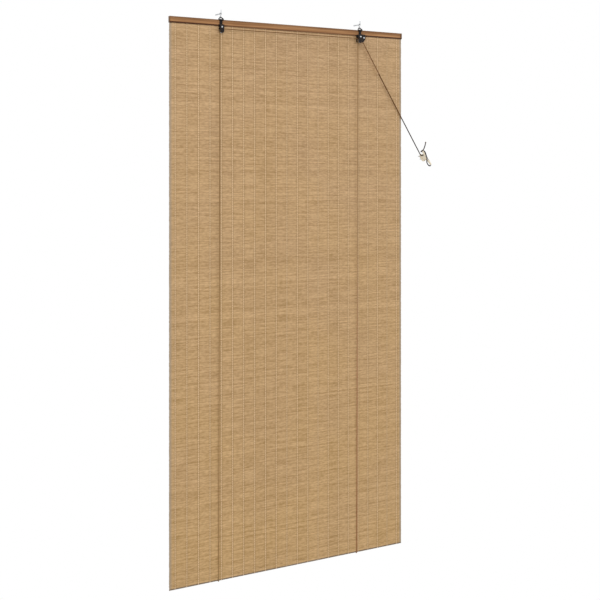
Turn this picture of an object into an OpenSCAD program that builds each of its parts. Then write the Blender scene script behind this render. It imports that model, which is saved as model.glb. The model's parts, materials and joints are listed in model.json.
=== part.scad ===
// Bamboo roller blind: a mat of bamboo slats on a clamped head rail, hung from two screw hooks.
// Two lift cords run under the mat and over the pulleys to a cord lock, and one pull cord goes to a cleat.
// Millimetres. X runs right along the wall, Y runs into the wall, Z is up.
// The origin is midway between the two wall hooks, on the wall's face.

/* [Blind] */
// Width of the slat mat
blind_w = 800; // [640:10:1200]
// Height from the top of the head rail to the bottom of the mat
blind_h = 1600; // [1000:10:2200]
// Distance between the two wall hooks
hook_spacing = 480; // [360:10:560]
// Gap from the wall to the back of the mat
wall_gap = 14; // [13:0.5:24]

/* [Slat mat] */
// Thickness of a bamboo slat
slat_t = 1.7; // [1.4:0.1:2.4]
// Nominal height of a slat
slat_pitch = 5; // [4:0.5:12]
// Depth of the groove between two slats
groove_depth = 0.5; // [0.2:0.05:0.6]
// Height of the groove between two slats
groove_h = 1.2; // [0.6:0.1:2]
// Number of warp threads across the mat
thread_count = 22; // [10:2:30]
// Width of a warp thread
thread_w = 2; // [1:0.1:2.5]
// Thickness of a warp thread on each face
thread_t = 0.4; // [0.2:0.1:0.8]
// Distance of the mat's top edge below the top of the head rail
mat_inset = 1; // [0.5:0.5:4]

/* [Head rail] */
// Height of the head rail
rail_h = 18; // [16:0.5:26]
// Thickness of the front batten
rail_front_t = 3.5; // [3:0.5:8]
// Thickness of the back batten
rail_back_t = 3; // [3:0.5:8]
// Length of the rail past each side of the mat
rail_overhang = 0; // [0:0.5:6]
// Chamfer along the edges of the battens
rail_chamfer = 0.6; // [0.2:0.1:1.2]
// Diameter of a rail nail
nail_d = 1.6; // [1.2:0.1:2]

/* [Bottom bar] */
// Height of the bottom bar
bar_h = 20; // [16:1:30]
// Depth of the bottom bar
bar_t = 9; // [7:0.5:10]
// Radius along the back edges of the bottom bar
bar_round = 4; // [1:0.5:4.5]
// Distance of each end of the bottom bar in from the side of the mat
bar_inset = 8; // [0:0.5:16]
// Width of the flat wire of the bar's staples
staple_wire = 0.9; // [0.6:0.1:1.2]

/* [Hooks and links] */
// Diameter of the hook's screw thread
hook_thread_d = 3.6; // [3.6:0.1:5]
// Length of the full thread that goes into the wall
hook_thread_l = 12; // [10:1:30]
// Diameter of the hook's wire
hook_wire = 3.2; // [2.8:0.1:3.2]
// Distance from the wall to the upturned tip of the hook
hook_arm = 22; // [21.5:0.5:34]
// Height of the hook's tip above its arm
hook_tip = 11; // [7:0.5:20]
// Bend radius of the hook
hook_bend = 3; // [2.5:0.1:3.2]
// Diameter of the link's wire
link_wire = 1.6; // [1.2:0.1:1.8]
// Inner diameter of the link's eyes
link_eye = 4.8; // [4.4:0.1:6]
// Length of the link's neck between its two eyes
link_neck = 1.7; // [1.6:0.1:10]

/* [Hanger ring] */
// Diameter of the triangular ring's wire
ring_wire = 3; // [2.4:0.1:3.2]
// Width of the ring between the centres of its lower bends
ring_w = 9.6; // [9.4:0.1:16]
// Bend radius of the ring's wire
ring_bend = 2.4; // [2.4:0.1:3]
// Rise of the ring from its lower bar to its top
ring_rise = 8.4; // [8:0.1:14]
// Distance that the ring leans back towards the wall
ring_setback = 4.9; // [4:0.1:5.2]
// Distance of the ring's lower bar below the top of the head rail
ring_bar_drop = 1; // [0.5:0.1:2]

/* [Pulleys and cord lock] */
// Thickness of the sheet steel plates
sheet_t = 1.2; // [1:0.1:1.6]
// Width of the tongue that holds the ring
tongue_w = 9; // [7:0.5:9]
// Distance from the bottom of the head rail to the wheel axles
wheel_drop = 14; // [13:0.5:20]
// Distance from the bottom of the head rail to the upper rivets
rivet_drop = 3; // [2.8:0.1:4]
// Outer diameter of the wheels
wheel_d = 12; // [11:0.5:14]
// Diameter of a wheel at the bottom of its groove
groove_d = 8.4; // [7:0.1:9]
// Width of one groove at its bottom
groove_w = 2.9; // [2.6:0.1:3.2]
// Width of one groove at the rim
groove_mouth = 3.8; // [3.4:0.1:4]
// Width of the pulley's wheel
wheel_w = 5.4; // [5:0.1:7]
// Distance between the two grooves of the lock's wheel
groove_pitch = 4.2; // [4.1:0.1:5]
// Diameter of the axles and rivets
axle_d = 3; // [2.5:0.1:3.5]
// Height of the rivet heads
rivet_head_h = 1.2; // [0.8:0.1:1.5]
// Distance of the lock's wheel to the right of its hook
lock_dx = -4; // [-5:0.5:0]
// Distance of the cam's pin to the right of the lock's wheel
cam_dx = 12; // [12:0.5:14]
// Height of the cam's pin above the lock's wheel
cam_dz = 8; // [7.5:0.5:10]
// Radius of the cam's toothed nose
cam_r = 7.6; // [6.5:0.1:7.7]
// Diameter of the cam's round hub
cam_hub_d = 9; // [7:0.5:10]
// Diameter of the plate screws
screw_d = 2.4; // [2:0.1:3]
// Length of the plate screws under the head
screw_l = 9.5; // [8:0.5:10]

/* [Cords] */
// Diameter of the lift cords
lift_d = 2.2; // [1.6:0.1:2.2]
// Diameter of the pull cord
pull_d = 3.2; // [2.4:0.1:3.2]

/* [Cleat] */
// Distance of the cleat past the side of the mat
cleat_side = 95; // [80:1:160]
// Distance of the cleat below the wall hooks
cleat_drop = 406; // [380:1:420]
// Tilt of the cleat's horns below level
cleat_tilt = 52; // [40:1:60]
// Length of the cleat over its horns
cleat_l = 58; // [50:1:80]
// Height of the cleat from the wall to the front of its body
cleat_h = 26; // [25:0.5:26]
// Width of the cleat's body
cleat_w = 9; // [7:0.5:9]
// Distance between the cleat's two screws
cleat_screw_pitch = 11; // [10:0.5:12]
// Diameter of the cleat's screws
cleat_screw_d = 3.2; // [2.8:0.1:3.5]
// Diameter of the smooth shank of the cleat's screws
cleat_shank_d = 2.8; // [2.4:0.1:2.8]
// Length of the cleat's screws that goes into the wall
cleat_screw_l = 14; // [10:1:30]

/* [Hidden] */
$fn = 48;
// Clearances: a running fit, a seat of hanging pieces, a hole round a fixed piece, side play of a wheel
run_gap = 0.05;
seat_gap = 0.1;
hole_gap = 0.05;
side_gap = 0.3;
// Clearance of a cord from what it runs along
cord_gap = 0.3;
// How far a cutting shape runs past what it cuts
past = 1;

// Depths from the wall
mat_t = slat_t + 2 * thread_t;
mat_back = -wall_gap;
slat_back = mat_back - thread_t;
slat_front = slat_back - slat_t;
mat_front = mat_back - mat_t;
rail_front = mat_front - rail_front_t;
rail_back = mat_back + rail_back_t;

// Heights down the hanging chain: hook, link, ring, rail
arm_r = hook_wire / 2;
eye_r = (link_eye + link_wire) / 2;
neck_rim = 0.3;
neck_d = link_wire + 2 * neck_rim;
upper_eye_z = arm_r + seat_gap - link_eye / 2;
lower_eye_z = upper_eye_z - 2 * eye_r - link_neck;
ring_top_z = lower_eye_z - link_eye / 2 + seat_gap + ring_wire / 2;
ring_bar_z = ring_top_z - ring_rise;
ring_bar_y = rail_front - sheet_t - seat_gap - ring_wire / 2;
link_y = ring_bar_y + ring_setback;
rail_top = ring_bar_z + ring_bar_drop;
rail_mid = rail_top - rail_h / 2;
rail_bottom = rail_top - rail_h;
mat_top = rail_top - mat_inset;
mat_bottom = rail_top - blind_h;
slat_count = round((mat_top - mat_bottom) / slat_pitch);
slat_step = (mat_top - mat_bottom) / slat_count;
hook_x = hook_spacing / 2;

// Places of the pulley and the lock
wheel_z = rail_bottom - wheel_drop;
rivet_z = rail_bottom - rivet_drop;
plate_y = rail_front - sheet_t;
lock_rim = 0.5;
lock_wheel_w = groove_pitch + groove_mouth + 2 * lock_rim;
pulley_gap = wheel_w + 2 * side_gap;
lock_gap = lock_wheel_w + 2 * side_gap;
cam_w = lock_wheel_w;
lock_x = hook_x + lock_dx;
cam_x = lock_x + cam_dx;
cam_z = wheel_z + cam_dz;
plate_lap = 4;
plate_margin = 0.5;
plate_top = rail_bottom + plate_lap;
plate_edge = wheel_d / 2 + plate_margin;
spacer_wall = 0.9;
spacer_d = axle_d + 2 * spacer_wall;
head_rim = 1;
screw_head_rim = 1.5;
screw_head_h = 1.6;
point_d = 0.6;

// Fixings along the rail and the bar, each midway between two warp threads
thread_step = blind_w / thread_count;
fixing_pitch = 2 * thread_step;
end_margin = 20;
fixing_n = floor((blind_w / 2 - end_margin) / fixing_pitch + 0.5);
fixings = [for (s = [-1, 1], i = [0:fixing_n - 1]) s * (i + 0.5) * fixing_pitch];
nail_r = nail_d / 2;
nail_rise = 5;
nail_z = rail_mid + nail_rise;
nail_head = 0.5;
nail_cover = 1;
nail_tip = rail_front + nail_cover;
staple_z = mat_bottom + 2.5 * slat_step;
staple_span = 8;
staple_bite = 5;
anchor_rise = 5;
anchor_z = rail_bottom + anchor_rise;
anchor_wire = 1.2;
anchor_span = 3.6;

// Lift cords: from a knot behind the rail, down the back, round the bar and up the front to the wheels
lift_gap = lift_d / 2 + cord_gap;
groove_r = groove_d / 2 + lift_gap;
left_lift_x = -hook_x - groove_r;
right_lift_x = lock_x - groove_r;
pulley_groove_y = plate_y - side_gap - wheel_w / 2;
lock_back_y = plate_y - side_gap - (lock_wheel_w - groove_pitch) / 2;
lock_front_y = lock_back_y - groove_pitch;
knot_y = rail_back + lift_d + cord_gap + seat_gap;
knot_z = anchor_z + anchor_wire / 2 + seat_gap;
bar_back = mat_back + bar_t;
function turn_yz(x, c, r, from, to, steps) =
    [for (i = [0:steps]) let (a = from + (to - from) * i / steps) [x, c.x + r * cos(a), c.y + r * sin(a)]];
function turn_xz(y, c, r, from, to, steps) =
    [for (i = [0:steps]) let (a = from + (to - from) * i / steps) [c.x + r * cos(a), y, c.y + r * sin(a)]];
function lift_route(x, groove_y) = concat(
    [[x, knot_y, knot_z], [x, knot_y, rail_bottom - past]],
    turn_yz(x, [bar_back - bar_round, mat_bottom + bar_round], bar_round + lift_gap, 0, -90, 3),
    turn_yz(x, [mat_front, mat_bottom], lift_gap, -90, -180, 2),
    [[x, groove_y, wheel_z]]
);
left_lift = lift_route(left_lift_x, pulley_groove_y);
right_lift = lift_route(right_lift_x, lock_back_y);

// Turns of the pull cord on the cleat, chosen by hand: along the horns, across them, out from the wall
cleat_turns = [
    [-18, -9.6, 16], [-13.5, -7.6, 15.4], [-11.6, -3.6, 15], [-11.6, 1, 14.8], [-8.6, 6.2, 14.6],
    [-2, 6.7, 14.5], [6, 6.7, 14.5], [14, 6.6, 14.8], [22, 6.2, 15.8], [28, 4.6, 17],
    [31.6, 1.6, 17.8], [32, -1.8, 18], [29, -5, 18.4], [22, -6.8, 19], [15, -6.8, 20.2],
    [10, -6.2, 22.4], [6, -5.1, 25.6], [2, -3, 27.7], [-4, -1.2, 28.4], [-10, 0.6, 28.3],
    [-16, 2.6, 27.9], [-18.8, 4, 26.8], [-21.5, 5, 24.8], [-24.5, 4.9, 21.5], [-26.4, 2.4, 18.6],
    [-26.8, -1.2, 18.4], [-27, -4.6, 20.6], [-28, -4.8, 24.6], [-29.2, -3.2, 27.2], [-30, 0, 28.8],
    [-31, 6, 28.6], [-33.4, 16, 25], [-40, 27, 23]
];
cleat_x = blind_w / 2 + cleat_side;
function on_cleat(p) = [
    cleat_x + p.x * cos(cleat_tilt) + p.y * sin(cleat_tilt),
    -p.z,
    p.y * cos(cleat_tilt) - p.x * sin(cleat_tilt) - cleat_drop
];

// Pull strands: over the wheels, then side by side to the knot where they become the pull cord
function unit(v) = v / norm(v);
joint_share = 0.3;
strand_side = 1.5;
first_turn = on_cleat(cleat_turns[0]);
exit_angle = 90 - atan2(wheel_z - first_turn.z, first_turn.x - lock_x);
strand_exit = [
    lock_x + groove_r * cos(exit_angle),
    (lock_back_y + lock_front_y) / 2,
    wheel_z + groove_r * sin(exit_angle)
];
joint_point = strand_exit + joint_share * (first_turn - strand_exit);
strand_end = joint_point - strand_side * unit(first_turn - strand_exit);
left_pull = concat(
    turn_xz(pulley_groove_y, [-hook_x, wheel_z], groove_r, 180, 90, 4),
    turn_xz(lock_front_y, [lock_x, wheel_z], groove_r, 90, exit_angle, 3),
    [strand_end - [0, strand_side, 0]]
);
right_pull = concat(
    turn_xz(lock_back_y, [lock_x, wheel_z], groove_r, 180, exit_angle, 7),
    [strand_end + [0, strand_side, 0]]
);
pull_route = concat([joint_point], [for (p = cleat_turns) on_cleat(p)]);

// Cleat: a foot on the wall and a post under the round horns
foot_l = 26;
foot_t = 3.5;
foot_rim = 2;
post_l = 18;
horn_z = cleat_h - cleat_w / 2;
tip_d = 0.6 * cleat_w;
tip_rise = 2.5;
sink = cleat_screw_d / 2;

bamboo = [0.72, 0.6, 0.44];
thread_tan = [0.8, 0.68, 0.52];
rail_wood = [0.63, 0.46, 0.32];
dark_steel = [0.16, 0.12, 0.1];
zinc = [0.78, 0.79, 0.8];
brown_wire = [0.64, 0.51, 0.37];
cord_tan = [0.56, 0.44, 0.3];
cord_brown = [0.34, 0.28, 0.22];
cream = [0.93, 0.88, 0.78];

// Ridged cross-section, extruded along X about the middle
module along_x(length)
    translate([-length / 2, 0, 0]) rotate([90, 0, 90]) linear_extrude(length) children();

// Flat outline in X and Z, extruded from y towards the room
module sheet(y, t)
    translate([0, y, 0]) rotate([90, 0, 0]) linear_extrude(t) children();

// Round bar along Y, from y_back towards the room
module rod(x, z, y_back, length, r)
    translate([x, y_back, z]) rotate([90, 0, 0]) cylinder(r = r, h = length);

// Arc of round wire in the plane of the profile, about the local Z axis
module wire_arc(bend, wire, from, sweep)
    rotate([0, 0, from]) rotate_extrude(angle = sweep) translate([bend, 0]) circle(d = wire);

// A tube of one diameter swept along a route, its rings turned with the route
function heading(p, i) =
    let (n = len(p) - 1)
    unit((i < n ? unit(p[i + 1] - p[i]) : [0, 0, 0]) + (i > 0 ? unit(p[i] - p[i - 1]) : [0, 0, 0]));
function square_to(v, t) = unit(v - (v * t) * t);
any_side = [0.31, 0.94, 0.11];
function side_of(p, i) = square_to(i == 0 ? any_side : side_of(p, i - 1), heading(p, i));
module tube(p, d, sides = 8) {
    rings = [for (i = [0:len(p) - 1])
        let (t = heading(p, i), u = side_of(p, i), v = cross(t, u))
        for (j = [0:sides - 1])
            p[i] + d / 2 * (cos(j * 360 / sides) * u + sin(j * 360 / sides) * v)];
    walls = [for (i = [0:len(p) - 2], j = [0:sides - 1])
        let (k = (j + 1) % sides, a = i * sides, b = a + sides)
        each [[a + j, b + j, b + k], [a + j, b + k, a + k]]];
    last = (len(p) - 1) * sides;
    ends = [[for (j = [0:sides - 1]) j], [for (j = [sides - 1:-1:0]) last + j]];
    polyhedron(rings, concat(walls, ends));
}

// Cross-section of a batten with chamfered edges, between two depths and two heights
module batten(y0, y1, z0, z1, c)
    polygon([
        [y0 + c, z0], [y1 - c, z0], [y1, z0 + c], [y1, z1 - c],
        [y1 - c, z1], [y0 + c, z1], [y0, z1 - c], [y0, z0 + c]
    ]);

module nail_holes()
    for (x = fixings)
        rod(x, nail_z, rail_back + past, rail_back + past - nail_tip + hole_gap, nail_r + hole_gap);

module plate_screw_holes()
    for (x = [-hook_x, hook_x])
        rod(x, rail_mid, rail_back + past, rail_back - rail_front + 2 * past, screw_d / 2 + hole_gap);

module head_rail_front()
    color(rail_wood) difference() {
        along_x(blind_w + 2 * rail_overhang)
            batten(rail_front, mat_front, rail_bottom, rail_top, rail_chamfer);
        nail_holes();
        plate_screw_holes();
    }

module head_rail_back()
    color(rail_wood) difference() {
        along_x(blind_w + 2 * rail_overhang)
            batten(mat_back, rail_back, rail_bottom, rail_top, rail_chamfer);
        nail_holes();
        plate_screw_holes();
        for (x = [left_lift_x, right_lift_x], s = [-1, 1])
            rod(x + s * (anchor_span + anchor_wire) / 2, anchor_z, rail_back + past, rail_back_t + past,
                anchor_wire / 2 + hole_gap);
    }

module rail_nails()
    color(zinc) for (x = fixings) {
        rod(x, nail_z, rail_back + nail_head, nail_head, nail_d);
        rod(x, nail_z, rail_back, rail_back - nail_tip, nail_r);
    }

// Slats as ridges with a V groove between them, the same on both faces of the mat
module slat_profile() {
    half = groove_h / 2;
    cuts = [for (i = [1:slat_count - 1]) mat_top - i * slat_step];
    front = [for (z = cuts)
        each [[slat_front, z + half], [slat_front + groove_depth, z], [slat_front, z - half]]];
    back = [for (i = [len(cuts) - 1:-1:0])
        each [[slat_back, cuts[i] - half], [slat_back - groove_depth, cuts[i]], [slat_back, cuts[i] + half]]];
    polygon(concat(
        [[slat_front, mat_top]], front, [[slat_front, mat_bottom], [slat_back, mat_bottom]],
        back, [[slat_back, mat_top]]
    ));
}

module slat_mat()
    color(bamboo) difference() {
        along_x(blind_w) slat_profile();
        nail_holes();
        plate_screw_holes();
        staple_legs(slat_back + past, 2 * hole_gap);
    }

// A flat thread on each face of the mat, its edges bevelled
module warp_thread(x, y, side) {
    half = thread_w / 2;
    bevel = thread_t / 2;
    translate([x, y, mat_bottom]) linear_extrude(mat_top - mat_bottom) mirror([0, 1 - side, 0]) polygon([
        [-half, 0], [half, 0], [half, bevel],
        [half - bevel, thread_t], [bevel - half, thread_t], [-half, bevel]
    ]);
}

module warp_threads()
    color(thread_tan) difference() {
        for (i = [0:thread_count - 1], side = [0, 1])
            warp_thread((i + 0.5) * thread_step - blind_w / 2, side == 0 ? slat_front : slat_back, side);
        plate_screw_holes();
    }

// Bottom bar behind the mat, its back edges rounded for the cords
module bottom_bar() {
    round_y = bar_back - bar_round;
    color(rail_wood) difference() {
        along_x(blind_w - 2 * bar_inset) {
            translate([mat_back, mat_bottom]) square([bar_t - bar_round, bar_h]);
            translate([mat_back, mat_bottom + bar_round]) square([bar_t, bar_h - 2 * bar_round]);
            for (z = [mat_bottom + bar_round, mat_bottom + bar_h - bar_round])
                translate([round_y, z]) circle(r = bar_round);
        }
        staple_legs(mat_back + staple_bite + hole_gap, 2 * hole_gap);
    }
}

// Legs of the bar's staples, from the slats' front back to y_end, each grown by a clearance
module staple_legs(y_end, grow)
    for (x = fixings, s = [-1, 1])
        translate([x + s * (staple_span - staple_wire) / 2, (slat_front + y_end) / 2, staple_z])
            cube([staple_wire + grow, y_end - slat_front, staple_wire + grow], center = true);

module bar_staples()
    color(brown_wire) {
        for (x = fixings)
            translate([x, slat_front - staple_wire / 2, staple_z])
                cube([staple_span, staple_wire, staple_wire], center = true);
        staple_legs(mat_back + staple_bite, 0);
    }

// Screw hook with a thread, a level arm and an upturned tip
module wall_hook(x)
    color(zinc) translate([x, 0, 0]) {
        tip_taper = 0.8;
        rotate([-90, 0, 0]) {
            cylinder(d = hook_thread_d, h = hook_thread_l);
            translate([0, 0, hook_thread_l]) cylinder(d1 = hook_thread_d, d2 = point_d, h = hook_thread_d);
        }
        rotate([90, 0, 0]) cylinder(d = hook_wire, h = hook_arm - hook_bend);
        translate([0, hook_bend - hook_arm, hook_bend]) rotate([180, 90, 0])
            wire_arc(hook_bend, hook_wire, 0, 90);
        translate([0, -hook_arm, hook_bend]) cylinder(d = hook_wire, h = hook_tip - hook_bend - tip_taper);
        translate([0, -hook_arm, hook_tip - tip_taper])
            cylinder(d1 = hook_wire, d2 = hook_wire / 2, h = tip_taper);
    }

// Link of two wire eyes at right angles, one on the hook's arm and one through the ring
module hook_link(x)
    color(zinc) translate([x, link_y, 0]) {
        translate([0, 0, upper_eye_z]) rotate([90, 0, 0]) wire_arc(eye_r, link_wire, 0, 360);
        translate([0, 0, lower_eye_z]) rotate([0, 90, 0]) wire_arc(eye_r, link_wire, 0, 360);
        translate([0, 0, lower_eye_z + eye_r]) cylinder(d = neck_d, h = link_neck);
    }

// Triangular ring of bent wire that leans back over the rail, its two ends meeting in the plate's rolled end
function bend_points(c, r, a0, a1, steps) =
    [for (i = [0:steps]) let (a = a0 + (a1 - a0) * i / steps) [c.x + r * cos(a), c.y + r * sin(a), 0]];
module hanger_ring(x) {
    top = norm([ring_rise, ring_setback]) - ring_bend;
    half = ring_w / 2;
    slope = atan2(half, top - ring_bend);
    route = concat(
        [[seat_gap / 2, 0, 0]],
        bend_points([half, ring_bend], ring_bend, -90, slope, 5),
        bend_points([0, top], ring_bend, slope, 180 - slope, 4),
        bend_points([-half, ring_bend], ring_bend, 180 - slope, 270, 5),
        [[-seat_gap / 2, 0, 0]]
    );
    color(dark_steel) translate([x, ring_bar_y, ring_bar_z])
        rotate([atan2(ring_rise, ring_setback), 0, 0]) tube(route, ring_wire, 12);
}

// Tongue on the rail's front, its upper end rolled round the ring's lower bar
module tongue() {
    roll_r = ring_wire / 2 + seat_gap;
    sheet(rail_front, sheet_t)
        translate([-tongue_w / 2, plate_top]) square([tongue_w, ring_bar_z - plate_top]);
    translate([-tongue_w / 2, ring_bar_y, ring_bar_z]) rotate([0, 90, 0]) difference() {
        cylinder(r = roll_r + sheet_t, h = tongue_w);
        translate([0, 0, -past]) cylinder(r = roll_r, h = tongue_w + 2 * past);
    }
}

module plate_bore(x, z, d)
    rod(x, z, rail_front + past, lock_gap + 2 * sheet_t + 2 * past, d / 2 + hole_gap);

// Outline of the pulley's plates: straight sides and a round end about the axle
module pulley_outline() {
    translate([-plate_edge, wheel_z]) square([2 * plate_edge, plate_top - wheel_z]);
    translate([0, wheel_z]) circle(r = plate_edge);
}

module pulley_plate()
    color(dark_steel) translate([-hook_x, 0, 0]) difference() {
        union() {
            tongue();
            sheet(rail_front, sheet_t) pulley_outline();
        }
        plate_bore(0, rail_mid, screw_d);
        plate_bore(0, rivet_z, axle_d);
        plate_bore(0, wheel_z, axle_d);
    }

module pulley_cheek()
    color(dark_steel) translate([-hook_x, 0, 0]) difference() {
        sheet(plate_y - pulley_gap, sheet_t) pulley_outline();
        plate_bore(0, rivet_z, axle_d);
        plate_bore(0, wheel_z, axle_d);
    }

// Outline of the lock's plates: room for the wheel and the cam, with the lower right corner cut away
module lock_outline() {
    corner = 2;
    left = -2 * plate_edge;
    right = lock_dx + cam_dx + cam_hub_d / 2 + plate_margin;
    low = wheel_z - plate_edge;
    polygon([
        [left, plate_top - corner], [left + corner, plate_top], [right - corner, plate_top],
        [right, plate_top - corner], [right, cam_z - corner * 2], [lock_dx + plate_edge + corner, low],
        [left + corner, low], [left, low + corner]
    ]);
}

module lock_bores() {
    plate_bore(lock_dx, rivet_z, axle_d);
    plate_bore(lock_dx, wheel_z, axle_d);
    plate_bore(lock_dx + cam_dx, cam_z, axle_d);
}

module lock_plate()
    color(dark_steel) translate([hook_x, 0, 0]) difference() {
        union() {
            tongue();
            sheet(rail_front, sheet_t) lock_outline();
        }
        plate_bore(0, rail_mid, screw_d);
        lock_bores();
    }

module lock_cheek()
    color(dark_steel) translate([hook_x, 0, 0]) difference() {
        sheet(plate_y - lock_gap, sheet_t) lock_outline();
        lock_bores();
    }

// Rivet through both plates with a head at each end, and a shoulder between them where one is given
module rivet(x, z, gap, shoulder_d, paint) {
    stack = gap + 2 * sheet_t;
    head_r = axle_d / 2 + head_rim;
    color(paint) translate([x, rail_front, z]) rotate([90, 0, 0]) {
        cylinder(d = axle_d, h = stack);
        if (shoulder_d > axle_d) translate([0, 0, sheet_t]) cylinder(d = shoulder_d, h = gap);
        translate([0, 0, stack]) cylinder(r1 = head_r, r2 = head_r / 2, h = rivet_head_h);
        translate([0, 0, -rivet_head_h]) cylinder(r1 = head_r / 2, r2 = head_r, h = rivet_head_h);
    }
}

module pulley_rivet() rivet(-hook_x, rivet_z, pulley_gap, spacer_d, zinc);
module pulley_axle() rivet(-hook_x, wheel_z, pulley_gap, axle_d, dark_steel);
module lock_rivet() rivet(lock_x, rivet_z, lock_gap, spacer_d, zinc);
module lock_axle() rivet(lock_x, wheel_z, lock_gap, axle_d, dark_steel);
module cam_pin() rivet(cam_x, cam_z, lock_gap, axle_d, zinc);

// Grooved wheel on its axle, from y_back towards the room, with a groove at each given depth
module grooved_wheel(x, y_back, width, grooves)
    translate([x, y_back, wheel_z]) rotate([90, 0, 0]) difference() {
        cylinder(d = wheel_d, h = width);
        translate([0, 0, -past]) cylinder(d = axle_d + 2 * run_gap, h = width + 2 * past);
        for (g = grooves) translate([0, 0, g]) rotate_extrude() polygon([
            [groove_d / 2, -groove_w / 2], [groove_d / 2, groove_w / 2],
            [wheel_d / 2, groove_mouth / 2], [wheel_d, groove_mouth / 2],
            [wheel_d, -groove_mouth / 2], [wheel_d / 2, -groove_mouth / 2]
        ]);
    }

module pulley_wheel()
    color(zinc) grooved_wheel(-hook_x, plate_y - side_gap, wheel_w, [wheel_w / 2]);

module lock_wheel()
    color(zinc) grooved_wheel(lock_x, plate_y - side_gap, lock_wheel_w,
        [(lock_wheel_w - groove_pitch) / 2, (lock_wheel_w + groove_pitch) / 2]);

// Cam that hangs on its pin, its toothed nose swinging up to grip the cords
module lock_cam() {
    nose_half = 30;
    tooth = 0.7;
    teeth = 5;
    color(zinc) translate([0, plate_y - (lock_gap - cam_w) / 2, 0]) difference() {
        sheet(0, cam_w) translate([cam_x, cam_z]) difference() {
            union() {
                circle(d = cam_hub_d);
                intersection() {
                    circle(r = cam_r);
                    polygon([[0, 0], 2 * cam_r * [-sin(nose_half), -cos(nose_half)],
                        2 * cam_r * [sin(nose_half), -cos(nose_half)]]);
                }
            }
            for (i = [0:teeth - 1]) rotate((i + 0.5 - teeth / 2) * 2 * nose_half / teeth)
                translate([0, -cam_r]) polygon([[-tooth, -tooth], [tooth, -tooth], [0, tooth]]);
        }
        rod(cam_x, cam_z, past, cam_w + 2 * past, axle_d / 2 + run_gap);
    }
}

module plate_screw(x) {
    head_d = screw_d + 2 * screw_head_rim;
    color(dark_steel) {
        rod(x, rail_mid, plate_y + screw_l, screw_l, screw_d / 2);
        translate([x, plate_y, rail_mid]) rotate([90, 0, 0])
            cylinder(d1 = head_d, d2 = head_d / 2, h = screw_head_h);
    }
}
module pulley_screw() plate_screw(-hook_x);
module lock_screw() plate_screw(hook_x);

module at_cleat()
    translate([cleat_x, 0, -cleat_drop]) rotate([0, cleat_tilt, 0]) rotate([90, 0, 0]) children();

module left_lift_cord() color(cord_tan) tube(left_lift, lift_d);
module right_lift_cord() color(cord_tan) tube(right_lift, lift_d);
module left_pull_cord() color(cord_tan) tube(left_pull, lift_d);
module right_pull_cord() color(cord_tan) tube(right_pull, lift_d);
module pull_cord() color(cord_brown) tube(pull_route, pull_d);

// Knots at the tops of the lift cords, where the two cords become one, and at the cord's end
module cord_knots()
    color(cord_brown) {
        for (p = [left_lift[0], right_lift[0]]) translate(p) cylinder(d = 2 * lift_d, h = 2 * lift_d);
        translate(joint_point) sphere(r = pull_d);
        translate(pull_route[len(pull_route) - 1]) sphere(d = pull_d + 2);
    }

// Staples over the lift cords on the rail's back, which the knots rest on
module cord_staples()
    color(zinc) for (p = [left_lift[0], right_lift[0]]) {
        crown_y = p.y + lift_d / 2 + 2 * seat_gap;
        leg_x = (anchor_span + anchor_wire) / 2;
        for (s = [-1, 1])
            rod(p.x + s * leg_x, anchor_z, crown_y + anchor_wire, crown_y + anchor_wire - mat_back,
                anchor_wire / 2);
        translate([p.x, crown_y + anchor_wire / 2, anchor_z])
            cube([anchor_span + anchor_wire, anchor_wire, anchor_wire], center = true);
    }

// Stadium outline of a given length and width
module stadium(l, w) {
    square([l - w, w], center = true);
    for (s = [-1, 1]) translate([s * (l - w) / 2, 0]) circle(d = w);
}

// Cleat with a foot on the wall, a post and two round horns that rise towards their tips
module cleat()
    color(cream) at_cleat() difference() {
        union() {
            linear_extrude(foot_t) stadium(foot_l, cleat_w + 2 * foot_rim);
            linear_extrude(horn_z - tip_rise) stadium(post_l, cleat_w);
            for (s = [-1, 1]) hull() {
                translate([0, 0, horn_z]) sphere(d = cleat_w, $fn = 32);
                translate([s * (cleat_l - tip_d) / 2, 0, horn_z + tip_rise]) sphere(d = tip_d, $fn = 32);
            }
        }
        for (s = [-1, 1]) translate([s * cleat_screw_pitch / 2, 0, 0]) {
            translate([0, 0, -past]) cylinder(d = cleat_screw_d + 2 * hole_gap, h = cleat_h + 2 * past);
            translate([0, 0, cleat_h - 2 * sink])
                cylinder(d1 = cleat_screw_d, d2 = 2 * cleat_screw_d, h = sink);
            translate([0, 0, cleat_h - sink]) cylinder(d = 2 * cleat_screw_d, h = sink + 2 * past);
        }
    }

module cleat_screws()
    color(zinc) at_cleat() for (s = [-1, 1]) translate([s * cleat_screw_pitch / 2, 0, 0]) {
        cylinder(d = cleat_shank_d, h = cleat_h - 2 * sink);
        translate([0, 0, -cleat_screw_l]) cylinder(d = cleat_screw_d, h = cleat_screw_l);
        translate([0, 0, -cleat_screw_l - cleat_screw_d])
            cylinder(d1 = point_d, d2 = cleat_screw_d, h = cleat_screw_d);
        translate([0, 0, cleat_h - 2 * sink])
            cylinder(d1 = cleat_screw_d, d2 = 2 * cleat_screw_d - 2 * hole_gap, h = sink);
    }

head_rail_front();
head_rail_back();
rail_nails();
slat_mat();
warp_threads();
bottom_bar();
bar_staples();
wall_hook(-hook_x);  // left_wall_hook
wall_hook(hook_x);  // right_wall_hook
hook_link(-hook_x);  // left_hook_link
hook_link(hook_x);  // right_hook_link
hanger_ring(-hook_x);  // left_hanger_ring
hanger_ring(hook_x);  // right_hanger_ring
pulley_plate();
pulley_cheek();
pulley_rivet();
pulley_axle();
pulley_wheel();
pulley_screw();
lock_plate();
lock_cheek();
lock_rivet();
lock_axle();
lock_wheel();
lock_cam();
cam_pin();
lock_screw();
left_lift_cord();
right_lift_cord();
left_pull_cord();
right_pull_cord();
pull_cord();
cord_knots();
cord_staples();
cleat();
cleat_screws();
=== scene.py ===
"""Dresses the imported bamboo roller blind: slats, warp threads, cords, knots, finishes and stage."""

import json
import math
import random

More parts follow.
